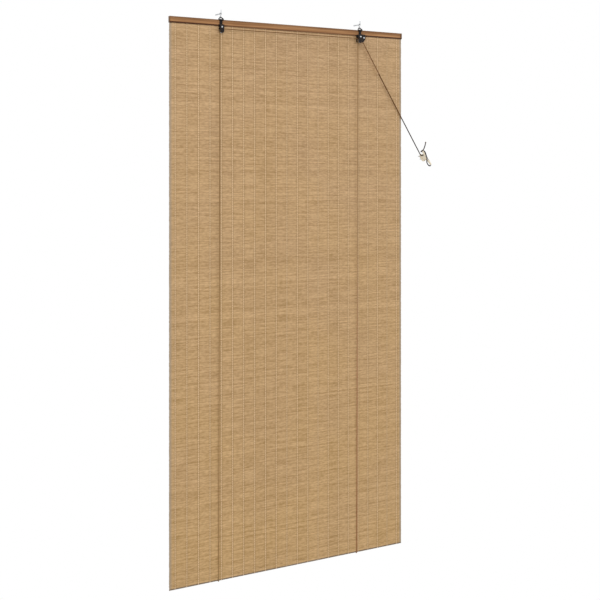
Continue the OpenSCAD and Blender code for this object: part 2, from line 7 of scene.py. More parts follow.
import bmesh
import bpy
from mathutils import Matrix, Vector


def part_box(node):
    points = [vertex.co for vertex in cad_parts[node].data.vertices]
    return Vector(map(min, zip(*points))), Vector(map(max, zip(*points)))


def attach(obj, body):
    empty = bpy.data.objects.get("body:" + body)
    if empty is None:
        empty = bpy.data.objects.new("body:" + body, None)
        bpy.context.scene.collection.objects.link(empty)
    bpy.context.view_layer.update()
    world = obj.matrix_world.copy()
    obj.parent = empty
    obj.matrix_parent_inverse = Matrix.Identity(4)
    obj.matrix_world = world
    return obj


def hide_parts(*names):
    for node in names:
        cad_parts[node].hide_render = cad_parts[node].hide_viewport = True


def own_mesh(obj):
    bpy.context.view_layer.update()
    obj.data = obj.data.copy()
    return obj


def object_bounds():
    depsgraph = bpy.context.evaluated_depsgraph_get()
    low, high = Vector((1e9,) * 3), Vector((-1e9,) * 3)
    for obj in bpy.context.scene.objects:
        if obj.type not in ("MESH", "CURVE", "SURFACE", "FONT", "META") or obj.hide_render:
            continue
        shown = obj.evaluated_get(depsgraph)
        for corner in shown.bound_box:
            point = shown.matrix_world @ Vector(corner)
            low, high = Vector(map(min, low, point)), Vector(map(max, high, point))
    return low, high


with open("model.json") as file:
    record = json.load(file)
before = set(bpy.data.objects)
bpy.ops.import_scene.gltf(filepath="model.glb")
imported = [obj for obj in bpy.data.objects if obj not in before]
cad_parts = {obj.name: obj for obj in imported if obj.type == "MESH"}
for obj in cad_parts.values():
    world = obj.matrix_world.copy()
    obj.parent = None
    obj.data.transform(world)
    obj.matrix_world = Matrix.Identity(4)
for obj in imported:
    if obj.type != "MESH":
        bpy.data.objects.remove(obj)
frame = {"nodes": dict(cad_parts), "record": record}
CAD_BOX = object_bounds()
NODES = frame["nodes"]

bl_info = {
    "name": "Bamboo Roller Blind",
    "version": (1, 0, 0),
    "blender": (4, 5, 0),
    "location": "3D View > Sidebar > Blind",
    "description": "Dresses a bamboo roller blind with slats, warp threads, cords and finishes",
    "category": "Object",
}

MM = 0.001
ROOT = "blind"
BAR = "bar"
MAT_LOW, MAT_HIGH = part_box("slat_mat")
RAIL_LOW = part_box("head_rail_front")[0].z

# How far the threads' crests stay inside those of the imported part, clear of the bar
THREAD_CLEAR = 0.05 * MM

# Camera that matches the photograph: level, so that uprights stay parallel, and shifted to frame the part
CAMERA_PLACE = (-1.793, -2.9755, -0.448)
CAMERA_AHEAD = (0.5240, 0.8515)
CAMERA_SENSOR = 36
CAMERA_LENS = 70.1
CAMERA_SHIFT = (-0.00045, -0.2153)

# Stage: lamps as (name, place, power, size), the point they look at, the room's light and the floor
LAMPS = (("key_lamp", (-2.4, -3.2, 0.9), 56, 2.5), ("fill_lamp", (2.6, -3.0, 0.4), 30, 3.0))
LAMP_TARGET = Vector((0, 0, -0.8))
ROOM_LIGHT = 0.62
BACKDROP_LIGHT = 1.0
FLOOR_SIZE = 14
FLOOR_DROP = 0.4
FLOOR_GREY = 0.85

# Tone of the mat: dashes as (scale along, scale across, share), the range of noise that makes their edges,
# how far the painted shade beside a thread reaches, in thread spaces, and the shares of what else changes the
# tone
LONG_DASH = (17.0, 220.0, 0.34)
SHORT_DASH = (90.0, 250.0, 0.33)
DASH_EDGE = (0.38, 0.62)
THREAD_SHADE_REACH = (0.13, 0.06)
SLAT_SHARE = 0.32
COLUMN_SHARE = 0.08
CAST_SHARE = 0.3
LEVEL_SHARE = 0.7
PATCH_SHARE = 0.3
THREAD_SHADE_SHARE = 0.38
# Share of the painted light band on the slats just under the head rail
UNDER_RAIL_LIGHT_SHARE = 0.15
SIDE_SHARE = 0.8

# Tone of a slat: random seed, pace of a slow drift, shares of drift and chance, and the least tone
SLAT_SEED = 7
DRIFT_RATE = 0.35
DRIFT_SHARE = 0.2
CHANCE_SHARE = 0.65
TONE_FLOOR = 0.075

# Where the hooks stand, from the middle of the rail
HOOKS_AT = (0.21, 0.25)

# Where a cord's tone starts to change and where the change ends, in diameters along it
LIFT_CHANGE = (420.0, 240.0)
PULL_CHANGE = (47.0, 51.0)

# Twist of the cords: angle for one turn round and for one diameter along, and depth of the relief
CORD_STRANDS = math.tau * 2
CORD_SLANT = math.tau * 0.35
CORD_RELIEF = 0.3 * MM
THREAD_RELIEF = 0.1 * MM

# Longest step along a lift cord's mesh
CORD_STEP = 20 * MM

# Knots: points on the curve, its proportions, and how thick the cord is beside a lift cord
KNOT_POINTS = 60
KNOT_FORM = (0.62, 0.5, 1.3)
KNOT_CORD = 0.8

# Colour sockets of the Mix node, whose names it also gives to its other sockets
MIX_FIRST, MIX_SECOND, MIX_RESULT = 6, 7, 2

# Cord routes in millimetres, as in the part's source; a lift cord's back run is split beside the bar
LIFT_X = {"left": -245.6, "right": 230.4}
WHEEL_Y = {"left": -24.2, "right": -23.9}
BACK_RUN = [(-3.67, -1590.0), (-8.4, -36.0), (-8.4, -29.3)]
UNDER_RUN = [(-3.67, -1590.0), (-3.6, -1613.0), (-4.3, -1615.7), (-6.3, -1617.7), (-9.0, -1618.4),
             (-16.5, -1618.4), (-17.5, -1618.0), (-17.9, -1617.0)]
FRONT_RUN_LOW = (-17.9, -1617.0)
FRONT_RUN_TOP_Z = -49.0
ANCHOR_KNOT = (-8.4, -27.1)
LEFT_STRAND = [(-245.6, -24.2, -49), (-245.2, -24.2, -46.9), (-244, -24.2, -45), (-242.1, -24.2, -43.8),
               (-240, -24.2, -43.4), (236, -28.1, -43.4), (237.8, -28.1, -43.7), (239.4, -28.1, -44.5),
               (240.6, -28.1, -45.8), (310.5, -24.5, -150.1)]
RIGHT_STRAND = [(230.4, -23.9, -49), (230.8, -23.9, -47), (231.8, -23.9, -45.3), (233.4, -23.9, -44),
                (235.3, -23.9, -43.4), (237.3, -23.9, -43.6), (239.2, -23.9, -44.4), (240.6, -23.9, -45.8),
                (310.5, -21.5, -150.1)]
JOINT_POINT = (311.3, -23.0, -151.4)
CLEAT_CENTRE = (495.0, -406.0)
CLEAT_TILT = math.radians(52)
CLEAT_TURNS = [(-18, -9.6, 16), (-13.5, -7.6, 15.4), (-11.6, -3.6, 15), (-11.6, 1, 14.8), (-8.6, 6.2, 14.6),
               (-2, 6.7, 14.5), (6, 6.7, 14.5), (14, 6.6, 14.8), (22, 6.2, 15.8), (28, 4.6, 17),
               (31.6, 1.6, 17.8), (32, -1.8, 18), (29, -5, 18.4), (22, -6.8, 19), (15, -6.8, 20.2),
               (10, -6.2, 22.4), (6, -5.1, 25.6), (2, -3, 27.7), (-4, -1.2, 28.4), (-10, 0.6, 28.3),
               (-16, 2.6, 27.9), (-18.8, 4, 26.8), (-21.5, 5, 24.8), (-24.5, 4.9, 21.5), (-26.4, 2.4, 18.6),
               (-26.8, -1.2, 18.4), (-27, -4.6, 20.6), (-28, -4.8, 24.6), (-29.2, -3.2, 27.2), (-30, 0, 28.8),
               (-31, 6, 28.6), (-33.4, 16, 25), (-40, 27, 23)]


def srgb(red, green, blue):
    """A display colour, 0 to 255 a channel, as linear RGBA."""
    def linear(c):
        c /= 255
        return c / 12.92 if c <= 0.04045 else ((c + 0.055) / 1.055) ** 2.4
    return (linear(red), linear(green), linear(blue), 1.0)


def colour(name, description, value):
    return bpy.props.FloatVectorProperty(
        name=name, description=description, default=value, size=4, subtype="COLOR", min=0, max=1)


def length(name, description, value):
    return bpy.props.FloatProperty(name=name, description=description, default=value, unit="LENGTH", min=0)


class BlindSizes(bpy.types.PropertyGroup):
    """Sizes of the pieces that are modelled here."""
    slat_count: bpy.props.IntProperty(name="Slats", description="Slats in the mat", default=320, min=10)
    slat_spread: bpy.props.FloatProperty(
        name="Slat spread", description="Spread of the slats' heights about the mean", default=0.3,
        subtype="FACTOR", min=0, max=0.6)
    slat_edge: length("Slat edge", "Rounding along the edges of a slat", 0.35 * MM)
    end_spread: length("End spread", "How far slat ends stand back from the mat's side", 0.7 * MM)
    thread_count: bpy.props.IntProperty(
        name="Threads", description="Warp threads on each face", default=22, min=2)
    thread_width: length("Thread width", "Width of a warp thread", 2.2 * MM)
    thread_dip: length("Thread dip", "How far a thread dips between two slats", 0.45 * MM)
    lift_cord: length("Lift cord", "Diameter of the lift cords", 2.2 * MM)
    pull_cord: length("Pull cord", "Diameter of the pull cord", 3.2 * MM)


class BlindColours(bpy.types.PropertyGroup):
    """Colours of the finishes."""
    bamboo_light: colour("Light bamboo", "Palest dashes of the slats", srgb(217, 180, 135))
    bamboo_dark: colour("Dark bamboo", "Darkest dashes of the slats", srgb(134, 100, 45))
    bamboo_low: colour("Low bamboo", "Cast of the mat towards its lower edge", srgb(199, 160, 92))
    bamboo_high: colour("High bamboo", "Cast of the mat towards the head rail", srgb(180, 146, 112))
    # Slat ends: a greyer colour over the last few millimetres of the slats at both sides of the mat
    slat_end: colour("Slat ends", "Weathered ends of the slats", srgb(158, 142, 121))
    # A darker colour on the last slat at the mat's lower edge
    lower_edge_dark: colour("Edge trim", "Last slat at the mat's lower edge", srgb(120, 102, 82))
    thread: colour("Warp thread", "Cotton of the warp threads", srgb(244, 212, 174))
    rail: colour("Rail wood", "Light grain of the head rail and the bottom bar", srgb(198, 148, 100))
    rail_grain: colour("Rail grain", "Dark grain of the rail wood", srgb(144, 99, 60))
    # Painted shade along the top and bottom edges of the rail and the bar, and the darker bands at their ends
    rail_shade_and_ends: colour("Rail edge", "Dark stain along the rail's edges", srgb(58, 26, 4))
    lift: colour("Lift cord", "Upper part of the left lift cord", srgb(150, 118, 74))
    lift_low: colour("Low lift cord", "Lower part of the left lift cord", srgb(168, 134, 88))
    lift_tan: colour("Tan lift cord", "Upper part of the right lift cord", srgb(168, 133, 90))
    lift_red: colour("Red lift cord", "Lower part of the right lift cord", srgb(166, 112, 74))
    strand_brown: colour("Brown strand", "Left cord past its wheel", srgb(120, 84, 46))
    strand_tan: colour("Tan strand", "Right cord past its wheel", srgb(208, 171, 130))
    cord: colour("Pull cord", "Pull cord in front of the mat", srgb(108, 74, 38))
    cord_far: colour("Far pull cord", "Pull cord beside the mat and on the cleat", srgb(30, 24, 20))
    lacquer: colour("Lacquer", "Sheet steel of the pulley and the lock", srgb(30, 21, 17))
    zinc: colour("Zinc", "Hooks, links, rivets and screws", srgb(196, 198, 200))
    staple: colour("Staple", "Lacquered wire of the bar's staples", srgb(168, 134, 96))
    cleat: colour("Cleat", "Moulded cleat", srgb(240, 227, 202))


def deselect():
    if bpy.context.mode != "OBJECT":
        bpy.ops.object.mode_set(mode="OBJECT")
    bpy.ops.object.select_all(action="DESELECT")


def use_material(obj, material):
    obj.data.materials.clear()
    obj.data.materials.append(material)


def new_object(name, build):
    """A linked object from a finished bmesh, which is freed."""
    mesh = bpy.data.meshes.new(name)
    build.to_mesh(mesh)
    build.free()
    obj = bpy.data.objects.new(name, mesh)
    bpy.context.collection.objects.link(obj)
    return obj


def shorten(obj):
    """Give a piece that hangs from top to low a mesh of its own."""
    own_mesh(obj)


def darker(base, share):
    return tuple(share * c for c in base[:3]) + (1.0,)


# Shader building blocks

def node_group(name, inputs, outputs):
    """A new shader group with named sockets; inputs and outputs are (name, type) pairs."""
    group = bpy.data.node_groups.new(name, "ShaderNodeTree")
    for label, kind in inputs:
        group.interface.new_socket(label, in_out="INPUT", socket_type=kind)
    for label, kind in outputs:
        group.interface.new_socket(label, in_out="OUTPUT", socket_type=kind)
    return group, group.nodes.new("NodeGroupInput"), group.nodes.new("NodeGroupOutput")


def streak_group():
    """Fibres that run along the first axis of the given coordinates."""
    group, source, result = node_group(
        "Fibre Streaks",
        [("Vector", "NodeSocketVector"), ("Along", "NodeSocketFloat"), ("Across", "NodeSocketFloat")],
        [("Fac", "NodeSocketFloat")])
    combine = group.nodes.new("ShaderNodeCombineXYZ")
    multiply = group.nodes.new("ShaderNodeVectorMath")
    noise = group.nodes.new("ShaderNodeTexNoise")
    multiply.operation = "MULTIPLY"
    noise.inputs["Scale"].default_value = 1.0
    noise.inputs["Detail"].default_value = 3.0
    link = group.links.new
    link(source.outputs["Along"], combine.inputs["X"])
    link(source.outputs["Across"], combine.inputs["Y"])
    link(source.outputs["Across"], combine.inputs["Z"])
    link(source.outputs["Vector"], multiply.inputs[0])
    link(combine.outputs["Vector"], multiply.inputs[1])
    link(multiply.outputs["Vector"], noise.inputs["Vector"])
    link(noise.outputs["Fac"], result.inputs["Fac"])
    return group


def braid_group():
    """Slanting strands of a twisted cord on its own UV map: turns round it, and diameters along it."""
    group, source, result = node_group(
        "Cord Strands",
        [("Vector", "NodeSocketVector"), ("Strands", "NodeSocketFloat"), ("Slant", "NodeSocketFloat")],
        [("Height", "NodeSocketFloat")])
    parts = group.nodes.new("ShaderNodeSeparateXYZ")
    turning = group.nodes.new("ShaderNodeMath")
    along = group.nodes.new("ShaderNodeMath")
    total = group.nodes.new("ShaderNodeMath")
    wave = group.nodes.new("ShaderNodeMath")
    height = group.nodes.new("ShaderNodeMath")
    for node, kind in ((turning, "MULTIPLY"), (along, "MULTIPLY"), (total, "ADD"), (wave, "SINE"),
                       (height, "ABSOLUTE")):
        node.operation = kind
    link = group.links.new
    link(source.outputs["Vector"], parts.inputs[0])
    link(parts.outputs["X"], turning.inputs[0])
    link(source.outputs["Strands"], turning.inputs[1])
    link(parts.outputs["Y"], along.inputs[0])
    link(source.outputs["Slant"], along.inputs[1])
    link(turning.outputs[0], total.inputs[0])
    link(along.outputs[0], total.inputs[1])
    link(total.outputs[0], wave.inputs[0])
    link(wave.outputs[0], height.inputs[0])
    link(height.outputs[0], result.inputs["Height"])
    return group


class Finish:
    """A material with a Principled shader, and short names to wire it with."""

    def __init__(self, name, roughness, metallic=0.0):
        self.material = bpy.data.materials.new(name)
        self.material.use_nodes = True
        self.nodes = self.material.node_tree.nodes
        self.link = self.material.node_tree.links.new
        self.shader = self.nodes["Principled BSDF"]
        self.shader.inputs["Roughness"].default_value = roughness
        self.shader.inputs["Metallic"].default_value = metallic

    def add(self, kind, **values):
        node = self.nodes.new(kind)
        for key, value in values.items():
            setattr(node, key, value)
        return node

    def group(self, tree, **values):
        node = self.add("ShaderNodeGroup", node_tree=tree)
        for key, value in values.items():
            node.inputs[key].default_value = value
        return node

    def noise(self, vector, scale, detail=2.0):
        node = self.add("ShaderNodeTexNoise")
        node.inputs["Scale"].default_value = scale
        node.inputs["Detail"].default_value = detail
        self.link(vector, node.inputs["Vector"])
        return node.outputs["Fac"]

    def ramp(self, value, low, high):
        node = self.add("ShaderNodeMapRange")
        node.inputs["From Min"].default_value = low
        node.inputs["From Max"].default_value = high
        self.link(value, node.inputs["Value"])
        return node.outputs["Result"]

    def feed(self, socket, value):
        """Link another socket to this one, or set it to a constant."""
        if isinstance(value, bpy.types.NodeSocket):
            self.link(value, socket)
        else:
            socket.default_value = value

    def mix(self, factor, first, second):
        node = self.add("ShaderNodeMix", data_type="RGBA")
        self.feed(node.inputs["Factor"], factor)
        self.feed(node.inputs[MIX_FIRST], first)
        self.feed(node.inputs[MIX_SECOND], second)
        return node.outputs[MIX_RESULT]

    def math(self, kind, first, second=0.0):
        node = self.add("ShaderNodeMath", operation=kind)
        self.feed(node.inputs[0], first)
        self.feed(node.inputs[1], second)
        return node.outputs[0]

    def times(self, first, second):
        return self.math("MULTIPLY", first, second)

    def axis(self, vector, name):
        node = self.add("ShaderNodeSeparateXYZ")
        self.link(vector, node.inputs[0])
        return node.outputs[name]

    def bump(self, height, strength, distance):
        node = self.add("ShaderNodeBump")
        node.inputs["Strength"].default_value = strength
        node.inputs["Distance"].default_value = distance
        self.link(height, node.inputs["Height"])
        self.link(node.outputs["Normal"], self.shader.inputs["Normal"])

    def paint(self, colour_socket):
        self.link(colour_socket, self.shader.inputs["Base Color"])

    def places(self, output="Object"):
        return self.add("ShaderNodeTexCoord").outputs[output]

    def attribute(self, name):
        return self.add("ShaderNodeAttribute", attribute_name=name).outputs["Fac"]


def bamboo_finish(sizes, colours, streaks):
    """Slats in short dashes of tone that change from one thread space to the next, on the mat's UV map."""
    finish = Finish("bamboo", 0.62)
    rest = finish.places("UV")
    width = MAT_HIGH.x - MAT_LOW.x
    across, height = finish.axis(rest, "X"), finish.axis(rest, "Y")

    spaces = finish.times(across, sizes.thread_count / width)
    column = finish.add("ShaderNodeTexWhiteNoise", noise_dimensions="1D")
    finish.link(finish.math("FLOOR", finish.math("ADD", spaces, 0.5)), column.inputs["W"])
    tone = finish.times(finish.attribute("slat_tint"), SLAT_SHARE)
    for scale_along, scale_across, share in (LONG_DASH, SHORT_DASH):
        stroke = finish.group(streaks, Along=scale_along, Across=scale_across)
        finish.link(rest, stroke.inputs["Vector"])
        dash = finish.ramp(stroke.outputs["Fac"], *DASH_EDGE)
        tone = finish.math("ADD", tone, finish.times(dash, share))
    tone = finish.math("ADD", tone, finish.times(column.outputs["Value"], COLUMN_SHARE))
    base = finish.mix(tone, colours.bamboo_dark, colours.bamboo_light)

    level = finish.times(finish.ramp(height, MAT_LOW.z, MAT_HIGH.z), LEVEL_SHARE)
    patch = finish.times(finish.ramp(finish.noise(rest, 5.0, 3.0), *DASH_EDGE), PATCH_SHARE)
    cast = finish.mix(finish.math("ADD", level, patch), colours.bamboo_low, colours.bamboo_high)
    toned = finish.mix(CAST_SHARE, base, cast)

    # Painted shade on the slats beside each warp thread
    off_thread = finish.math("ABSOLUTE", finish.math("SUBTRACT", finish.math("FRACT", spaces), 0.5))
    thread_shade = finish.ramp(off_thread, *THREAD_SHADE_REACH)
    shaded = finish.mix(finish.times(thread_shade, THREAD_SHADE_SHARE), toned, colours.bamboo_dark)
    # Painted light: a paler band on the slats just under the head rail
    under_rail_light = finish.ramp(height, RAIL_LOW - 18 * MM, RAIL_LOW - 8 * MM)
    paled = finish.mix(finish.times(under_rail_light, UNDER_RAIL_LIGHT_SHARE), shaded, colours.bamboo_light)
    # Greyer colour at both side ends of the slats
    side = finish.ramp(finish.math("ABSOLUTE", across), width / 2 - 10 * MM, width / 2 - 3 * MM)
    ended = finish.mix(finish.times(side, SIDE_SHARE), paled, colours.slat_end)
    # The last slat at the lower edge is darker
    finish.paint(finish.mix(finish.attribute("last_slat_dark"), ended, colours.lower_edge_dark))

    fibres = finish.group(streaks, Along=9.0, Across=1400.0)
    finish.link(rest, fibres.inputs["Vector"])
    finish.bump(fibres.outputs["Fac"], 0.25, 0.2 * MM)
    return finish.material


def wood_finish(name, colours, streaks, box):
    """Stained wood with grain along X, with painted shade along the top and bottom edges and darker bands at
    the ends of the given box.
    """
    finish = Finish(name, 0.6)
    finish.shader.inputs["Specular IOR Level"].default_value = 0.2
    place = finish.places()
    along, height = finish.axis(place, "X"), finish.axis(place, "Z")
    across = finish.math("ABSOLUTE", along)
    low, high = box

    fibres = finish.group(streaks, Along=7.0, Across=420.0)
    finish.link(place, fibres.inputs["Vector"])
    grain = finish.times(finish.ramp(fibres.outputs["Fac"], 0.34, 0.66), 0.7)
    blotch = finish.times(finish.ramp(finish.noise(place, 9.0), 0.3, 0.7), 0.3)
    wood = finish.mix(finish.math("ADD", grain, blotch), colours.rail_grain, colours.rail)

    # Painted shade: the dark line under the wood is stronger outside the hooks, and a softer band darkens the
    # top
    outer = finish.math("ADD", finish.times(finish.ramp(across, *HOOKS_AT), 0.35), 0.6)
    under = finish.times(finish.ramp(height, low.z + 5 * MM, low.z + 3 * MM), outer)
    top_shade = finish.times(finish.ramp(height, high.z - 13 * MM, high.z - 2 * MM), 0.55)
    # Darker bands at both ends of the wood, wider at the right end
    both_ends = finish.ramp(across, high.x - 2.2 * MM, high.x - 1.2 * MM)
    right_end = finish.ramp(along, high.x - 8.5 * MM, high.x - 5.5 * MM)
    ends = finish.times(finish.math("MAXIMUM", both_ends, right_end), 0.7)
    edge = finish.math("MAXIMUM", finish.math("MAXIMUM", under, top_shade), ends)
    finish.paint(finish.mix(edge, wood, colours.rail_shade_and_ends))
    finish.bump(fibres.outputs["Fac"], 0.2, 0.2 * MM)
    return finish.material


def strand_finish(name, base, braid, strands, slant, relief, far=None, change=LIFT_CHANGE):
    """Twisted cord or thread on its own UV map, with painted shade between the strands.

    With a far colour, its tone changes between the two places along it that change names.
    """
    finish = Finish(name, 0.85)
    finish.shader.inputs["Sheen Weight"].default_value = 0.05
    finish.shader.inputs["Specular IOR Level"].default_value = 0.15
    twist = finish.group(braid, Strands=strands, Slant=slant)
    sheet = finish.places("UV")
    finish.link(sheet, twist.inputs["Vector"])
    body = base
    if far is not None:
        body = finish.mix(finish.ramp(finish.axis(sheet, "Y"), *change), base, far)
    # Painted shade in the grooves between the strands
    shade = finish.times(finish.ramp(twist.outputs["Height"], 0.7, 0.0), 0.4)
    fuzz = finish.times(finish.ramp(finish.noise(sheet, 3.0), 0.3, 0.8), 0.25)
    finish.paint(finish.mix(finish.math("MAXIMUM", shade, fuzz), body, darker(base, 0.45)))
    finish.bump(twist.outputs["Height"], 0.6, relief)
    return finish.material


def metal_finish(name, base, roughness, metallic, spread, gloss=0.5):
    """Metal or lacquer with a cloudy tone, from the base colour down to the given part of it."""
    finish = Finish(name, roughness, metallic)
    finish.shader.inputs["Specular IOR Level"].default_value = gloss
    place = finish.places()
    cloud = finish.ramp(finish.noise(place, 260.0, 4.0), 0.3, 0.7)
    finish.paint(finish.mix(cloud, darker(base, spread), base))
    rough = finish.add("ShaderNodeMapRange")
    rough.inputs["To Min"].default_value = roughness - 0.08
    rough.inputs["To Max"].default_value = roughness + 0.1
    finish.link(cloud, rough.inputs["Value"])
    finish.link(rough.outputs["Result"], finish.shader.inputs["Roughness"])
    finish.bump(finish.noise(place, 1500.0), 0.08, 0.1 * MM)
    return finish.material


def plastic_finish(colours):
    """Moulded plastic with a faint cloud and grain."""
    finish = Finish("cream_plastic", 0.38)
    place = finish.places()
    cloud = finish.ramp(finish.noise(place, 60.0), 0.3, 0.7)
    finish.paint(finish.mix(cloud, darker(colours.cleat, 0.9), colours.cleat))
    finish.bump(finish.noise(place, 700.0), 0.05, 0.1 * MM)
    return finish.material


# Cord building blocks

def rounded(points, limit=6 * MM, passes=3):
    """A polyline with its corners cut again and again, so that it runs smooth."""
    line = [Vector(p) for p in points]
    for _ in range(passes):
        cut = [line[0]]
        for a, b in zip(line, line[1:]):
            step = min(0.25 * (b - a).length, limit)
            along = (b - a).normalized()
            cut += [a + along * step, b - along * step]
        line = cut + [line[-1]]
    return line


def courses(line, loop):
    """The direction of a polyline at each of its points; a loop goes on from its last point to its first."""
    ahead = []
    last = len(line) - 1
    for i, point in enumerate(line):
        before = line[i - 1] if i or loop else point
        after = line[(i + 1) % len(line)] if i < last or loop else point
        ahead.append(((point - before).normalized() + (after - point).normalized()).normalized())
    return ahead


def tube(name, points, diameter, sides=10, loop=False):
    """A closed round tube on a line of points, with its UV map in turns round and diameters along."""
    line = [Vector(p) for p in points]
    ahead = courses(line, loop)
    side = Vector((0.31, 0.94, 0.11))
    build = bmesh.new()
    sheet = build.loops.layers.uv.new("UVMap")
    rings, travel = [], [0.0]
    for i, (point, course) in enumerate(zip(line, ahead)):
        side = (side - course * side.dot(course)).normalized()
        other = course.cross(side)
        rings.append([build.verts.new(point + diameter / 2 * (
            math.cos(math.tau * j / sides) * side + math.sin(math.tau * j / sides) * other))
            for j in range(sides)])
        if i:
            travel.append(travel[-1] + (point - line[i - 1]).length)
    if loop:
        near = min(range(sides), key=lambda j: (rings[0][j].co - rings[-1][0].co).length)
        rings.append(rings[0][near:] + rings[0][:near])
        travel.append(travel[-1] + (line[0] - line[-1]).length)
    else:
        build.faces.new(list(reversed(rings[0])))
        build.faces.new(rings[-1])
    for i in range(len(rings) - 1):
        for j in range(sides):
            k = (j + 1) % sides
            face = build.faces.new([rings[i][j], rings[i][k], rings[i + 1][k], rings[i + 1][j]])
            face.smooth = True
            corners = ((j, i), (j + 1, i), (j + 1, i + 1), (j, i + 1))
            for corner, (turn, ring) in zip(face.loops, corners):
                corner[sheet].uv = (turn / sides, travel[ring] / diameter)
    return new_object(name, build), travel[-1]


def divided(points, step):
    """The same polyline with points no further apart than step."""
    line = [Vector(points[0])]
    for a, b in zip(points, points[1:]):
        a, b = Vector(a), Vector(b)
        count = max(1, math.ceil((b - a).length / step))
        line += [a + (b - a) * k / count for k in range(1, count + 1)]
    return line


def in_metres(points):
    return [tuple(c * MM for c in p) for p in points]


def on_cleat(point):
    """A place on the cleat (along the horns, across them, out from the wall) in the part's frame."""
    along, across, out = point
    return (CLEAT_CENTRE[0] + along * math.cos(CLEAT_TILT) + across * math.sin(CLEAT_TILT), -out,
            CLEAT_CENTRE[1] + across * math.cos(CLEAT_TILT) - along * math.sin(CLEAT_TILT))


def knot(name, centre, size, diameter):
    """An overhand knot pulled tight: a trefoil of cord about its centre."""
    points = []
    wide, deep, tall = KNOT_FORM
    for i in range(KNOT_POINTS):
        t = math.tau * i / KNOT_POINTS
        reach = 2 + math.cos(3 * t)
        points.append(Vector(centre) + size / 3 * Vector((
            reach * math.cos(2 * t) * wide, reach * math.sin(2 * t) * deep, math.sin(3 * t) * tall)))
    obj, _ = tube(name, points, diameter, 8, loop=True)
    return obj


# Operators

class BLIND_OT_camera(bpy.types.Operator):
    """Place the camera at the photograph's viewing angle"""
    bl_idname = "blind.camera"
    bl_label = "Camera"

    def execute(self, context):
        data = bpy.data.cameras.new("camera")
        data.sensor_width = CAMERA_SENSOR
        data.lens = CAMERA_LENS
        data.shift_x, data.shift_y = CAMERA_SHIFT
        camera = bpy.data.objects.new("camera", data)
        context.collection.objects.link(camera)
        camera.location = CAMERA_PLACE
        camera.rotation_euler = (math.radians(90), 0, -math.atan2(*CAMERA_AHEAD))
        context.scene.camera = camera
        return {"FINISHED"}


class BLIND_OT_cords(bpy.types.Operator):
    """Make the lift cords, the strands over the wheels and the pull cord"""
    bl_idname = "blind.cords"
    bl_label = "Cords"

    def execute(self, context):
        sizes, colours = context.scene.blind_sizes, context.scene.blind_colours
        braid = braid_group()

        def finish(name, base, *far):
            return strand_finish(name, tuple(base), braid, CORD_STRANDS, CORD_SLANT, CORD_RELIEF, *far)

        left = finish("left_lift_cord", colours.lift, tuple(colours.lift_low))
        right = finish("right_lift_cord", colours.lift_tan, tuple(colours.lift_red))
        pull = finish("pull_cord_braid", colours.cord, tuple(colours.cord_far), PULL_CHANGE)
        self.lift_cord("left", sizes, left)
        self.lift_cord("right", sizes, right)
        self.strand("left", LEFT_STRAND, sizes, finish("left_strand", colours.strand_brown))
        self.strand("right", RIGHT_STRAND, sizes, finish("right_strand", colours.strand_tan))
        self.pull_cord(sizes, pull)
        return {"FINISHED"}

    def lift_cord(self, hand, sizes, cord):
        x = LIFT_X[hand]
        runs = {
            "front": [(x, *FRONT_RUN_LOW), (x, WHEEL_Y[hand], FRONT_RUN_TOP_Z)],
            "under": [(x, *p) for p in UNDER_RUN],
            "back": [(x, *p) for p in BACK_RUN],
        }
        for part, points in runs.items():
            line = in_metres(points)
            line = rounded(line, 3 * MM, 2) if part == "under" else divided(line, CORD_STEP)
            obj, _ = tube(f"{hand}_lift_{part}", line, sizes.lift_cord)
            use_material(obj, cord)
            if part == "under":
                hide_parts(f"{hand}_lift_cord")
                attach(obj, BAR)
                continue
            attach(obj, ROOT)
            shorten(obj)

    def strand(self, hand, route, sizes, cord):
        line = rounded(in_metres(route))
        obj, travelled = tube(f"{hand}_pull_strand", line, sizes.lift_cord)
        use_material(obj, cord)
        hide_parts(f"{hand}_pull_cord")
        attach(obj, ROOT)

    def pull_cord(self, sizes, cord):
        line = rounded(in_metres([JOINT_POINT] + [on_cleat(p) for p in CLEAT_TURNS]))
        obj, travelled = tube("pull_cord_run", line, sizes.pull_cord, 12)
        use_material(obj, cord)
        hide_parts("pull_cord")
        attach(obj, ROOT)


